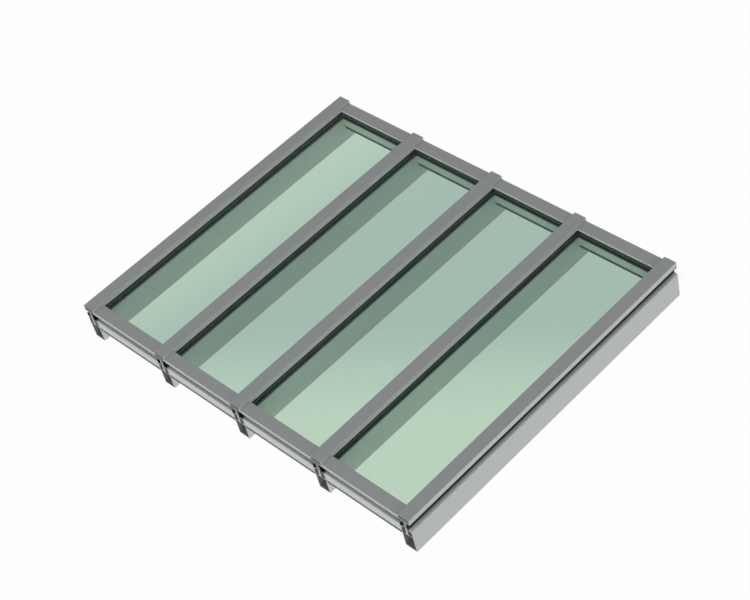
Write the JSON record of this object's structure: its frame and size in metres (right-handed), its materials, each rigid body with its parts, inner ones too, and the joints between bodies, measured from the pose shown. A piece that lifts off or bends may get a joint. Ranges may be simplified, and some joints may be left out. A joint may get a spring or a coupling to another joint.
{
  "type": "glazed roof light",
  "caption": "Flat roof light panel of hollow aluminium rafters and shallow transoms, holding green-tinted double glazing under clip-on covers.",
  "frame": {"origin": "middle of the panel, on the plane of the rafters' undersides", "axes": "+X across the bays along the eaves, +Y up the slope from eaves to ridge, +Z out of the glass"},
  "size_m": [2.064, 1.68, 0.202],
  "materials": {
    "aluminium_grey": "grey powder coat, satin",
    "aluminium_mill": "mill",
    "seal_black": "matte",
    "isolator_black": "matte",
    "strip_grey": "matte",
    "glass_green": "clear tinted",
    "spacer_black": "matte"
  },
  "bodies": {
    "root": {"rafter_1": "aluminium_grey", "rafter_cover_1": "aluminium_grey", "rafter_2": "aluminium_grey", "rafter_cover_2": "aluminium_grey", "rafter_3": "aluminium_grey", "rafter_cover_3": "aluminium_grey", "rafter_4": "aluminium_grey", "rafter_cover_4": "aluminium_grey", "rafter_5": "aluminium_grey", "rafter_cover_5": "aluminium_grey", "eaves_transom_1": "aluminium_grey", "eaves_cover_1": "aluminium_grey", "eaves_transom_2": "aluminium_grey", "eaves_cover_2": "aluminium_grey", "eaves_transom_3": "aluminium_grey", "eaves_cover_3": "aluminium_grey", "eaves_transom_4": "aluminium_grey", "eaves_cover_4": "aluminium_grey", "ridge_transom_1": "aluminium_grey", "ridge_cover_1": "aluminium_grey", "ridge_transom_2": "aluminium_grey", "ridge_cover_2": "aluminium_grey", "ridge_transom_3": "aluminium_grey", "ridge_cover_3": "aluminium_grey", "ridge_transom_4": "aluminium_grey", "ridge_cover_4": "aluminium_grey", "glass_1": "glass_green", "spacer_1": "spacer_black", "glass_2": "glass_green", "spacer_2": "spacer_black", "glass_3": "glass_green", "spacer_3": "spacer_black", "glass_4": "glass_green", "spacer_4": "spacer_black", "rafter_plates": "aluminium_mill", "transom_plates": "aluminium_mill", "edge_strips": "aluminium_grey", "isolators": "isolator_black", "transom_foot_strips": "strip_grey", "rafter_outer_gaskets": "seal_black", "rafter_inner_gaskets": "seal_black", "transom_outer_gaskets": "seal_black", "transom_inner_gaskets": "seal_black", "setting_blocks": "isolator_black", "rebate_fillers": "seal_black"}
  },
  "joints": []
}
